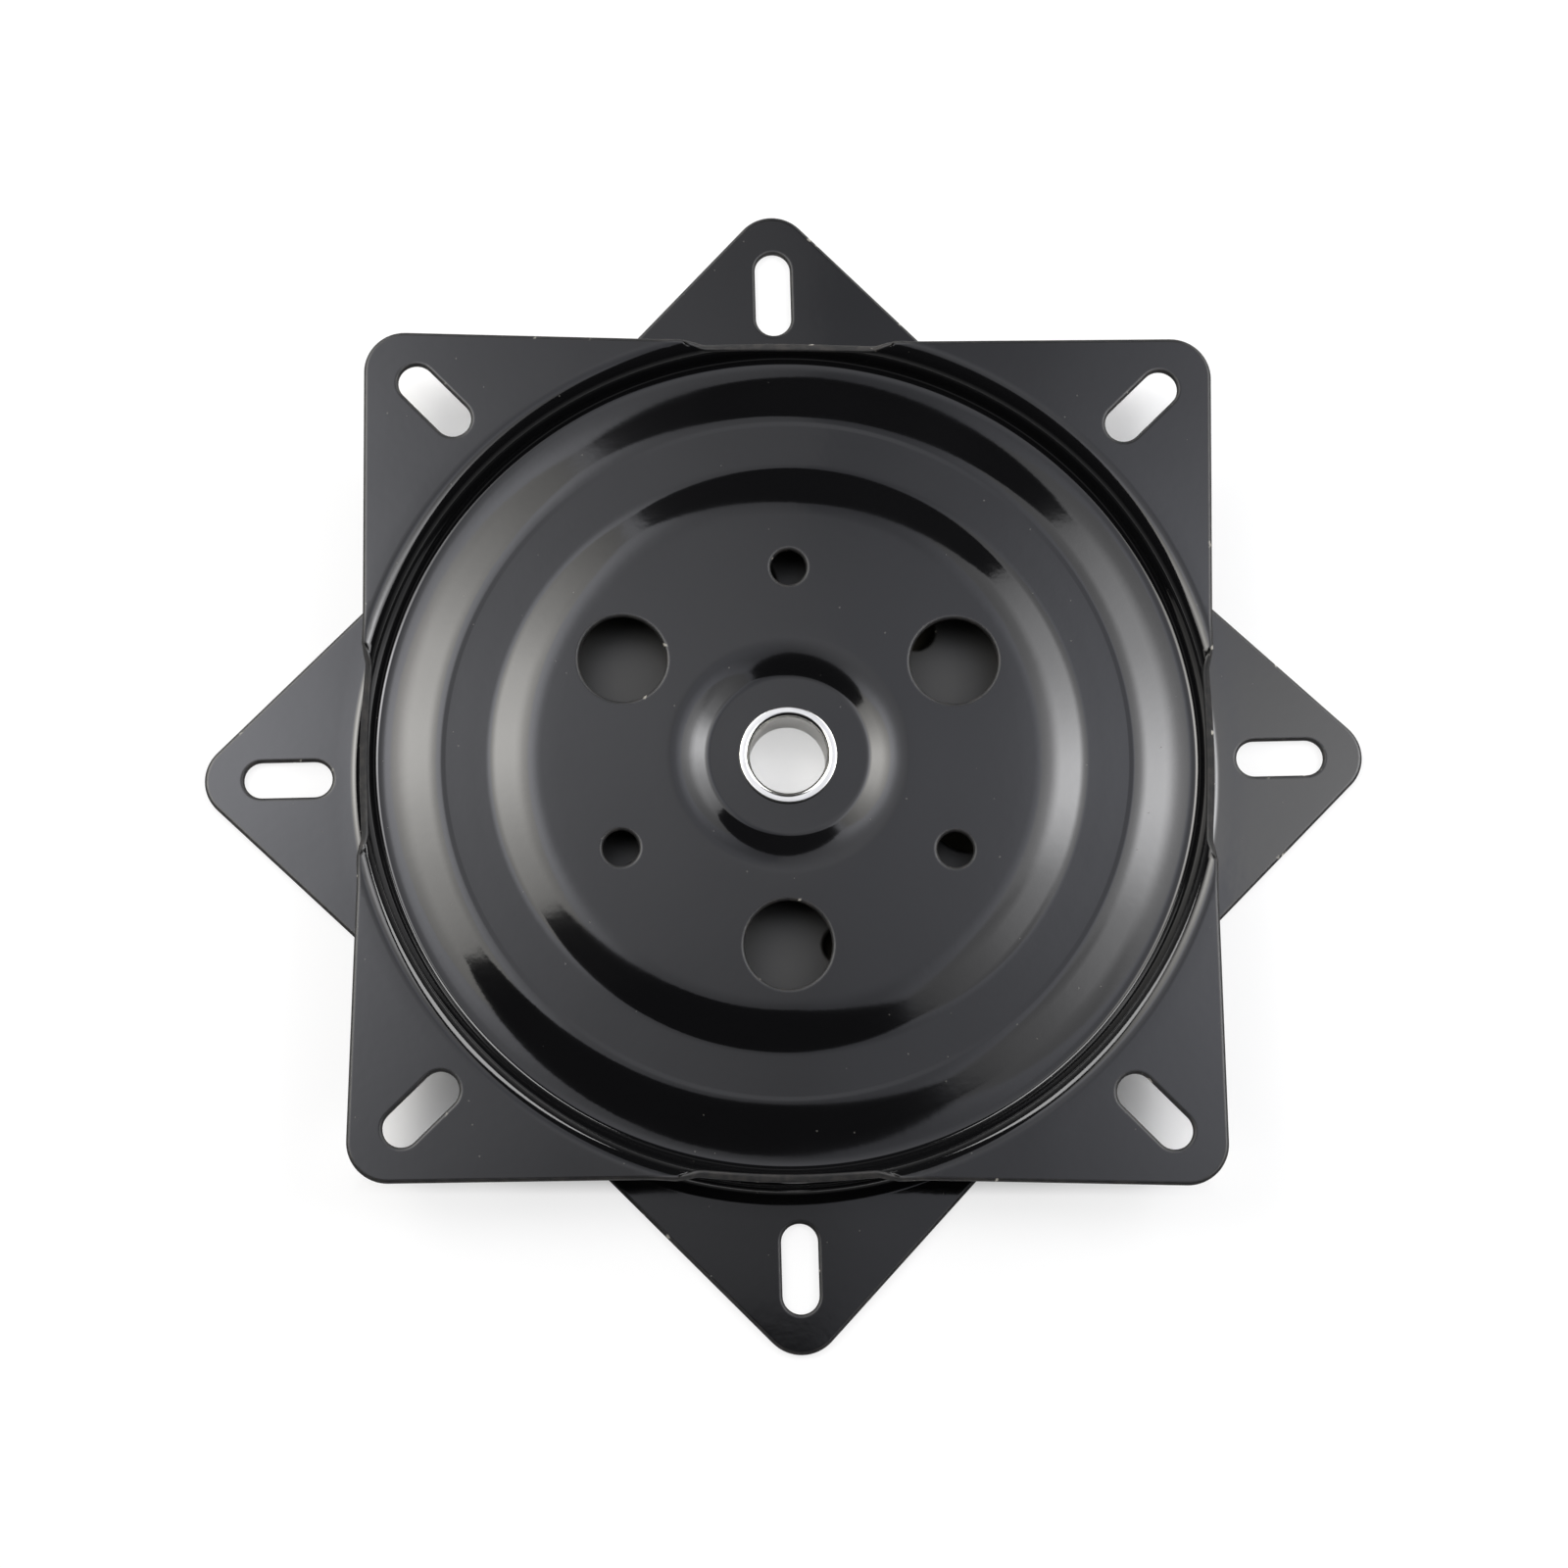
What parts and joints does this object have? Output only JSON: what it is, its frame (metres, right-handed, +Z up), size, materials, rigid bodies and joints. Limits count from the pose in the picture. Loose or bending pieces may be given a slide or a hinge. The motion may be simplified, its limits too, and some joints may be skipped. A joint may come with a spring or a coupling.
{
  "type": "seat swivel plate",
  "caption": "Square pressed-steel seat swivel: two dished plates with slotted corners, turned over on each other, running on a caged ball ring round a hollow centre rivet.",
  "frame": {"origin": "under the middle of the bottom plate, on the plane of its corner panels", "axes": "+Z up the swivel axis to the seat; +X and +Y along the bottom plate's diagonals, through its corner slots"},
  "size_m": [0.2756, 0.2756, 0.0245],
  "materials": {
    "plate_paint": "gloss black baked paint",
    "rivet_zinc": "bright zinc plate",
    "spacer_plastic": "natural moulded",
    "cage_plastic": "natural moulded, greased",
    "ball_steel": "polished"
  },
  "bodies": {
    "base": {"bottom_plate": "plate_paint", "centre_rivet": "rivet_zinc", "spacer_washer": "spacer_plastic"},
    "seat": {"top_plate": "plate_paint"},
    "ball_ring": {"ball_cage": "cage_plastic", "ball_01": "ball_steel", "ball_02": "ball_steel", "ball_03": "ball_steel", "ball_04": "ball_steel", "ball_05": "ball_steel", "ball_06": "ball_steel", "ball_07": "ball_steel", "ball_08": "ball_steel", "ball_09": "ball_steel", "ball_10": "ball_steel", "ball_11": "ball_steel", "ball_12": "ball_steel", "ball_13": "ball_steel", "ball_14": "ball_steel", "ball_15": "ball_steel", "ball_16": "ball_steel"}
  },
  "joints": [
    {"name": "seat_turn", "type": "hinge", "parent": "base", "child": "seat", "pos_m": [0, 0, 0.01225], "axis": [0, 0, 1], "continuous": true},
    {"name": "ball_ring_turn", "type": "hinge", "parent": "base", "child": "ball_ring", "pos_m": [0, 0, 0.01225], "axis": [0, 0, 1], "continuous": true}
  ],
  "couplings": [
    {"joint": "ball_ring_turn", "follows": "seat_turn", "ratio": 0.5}
  ]
}
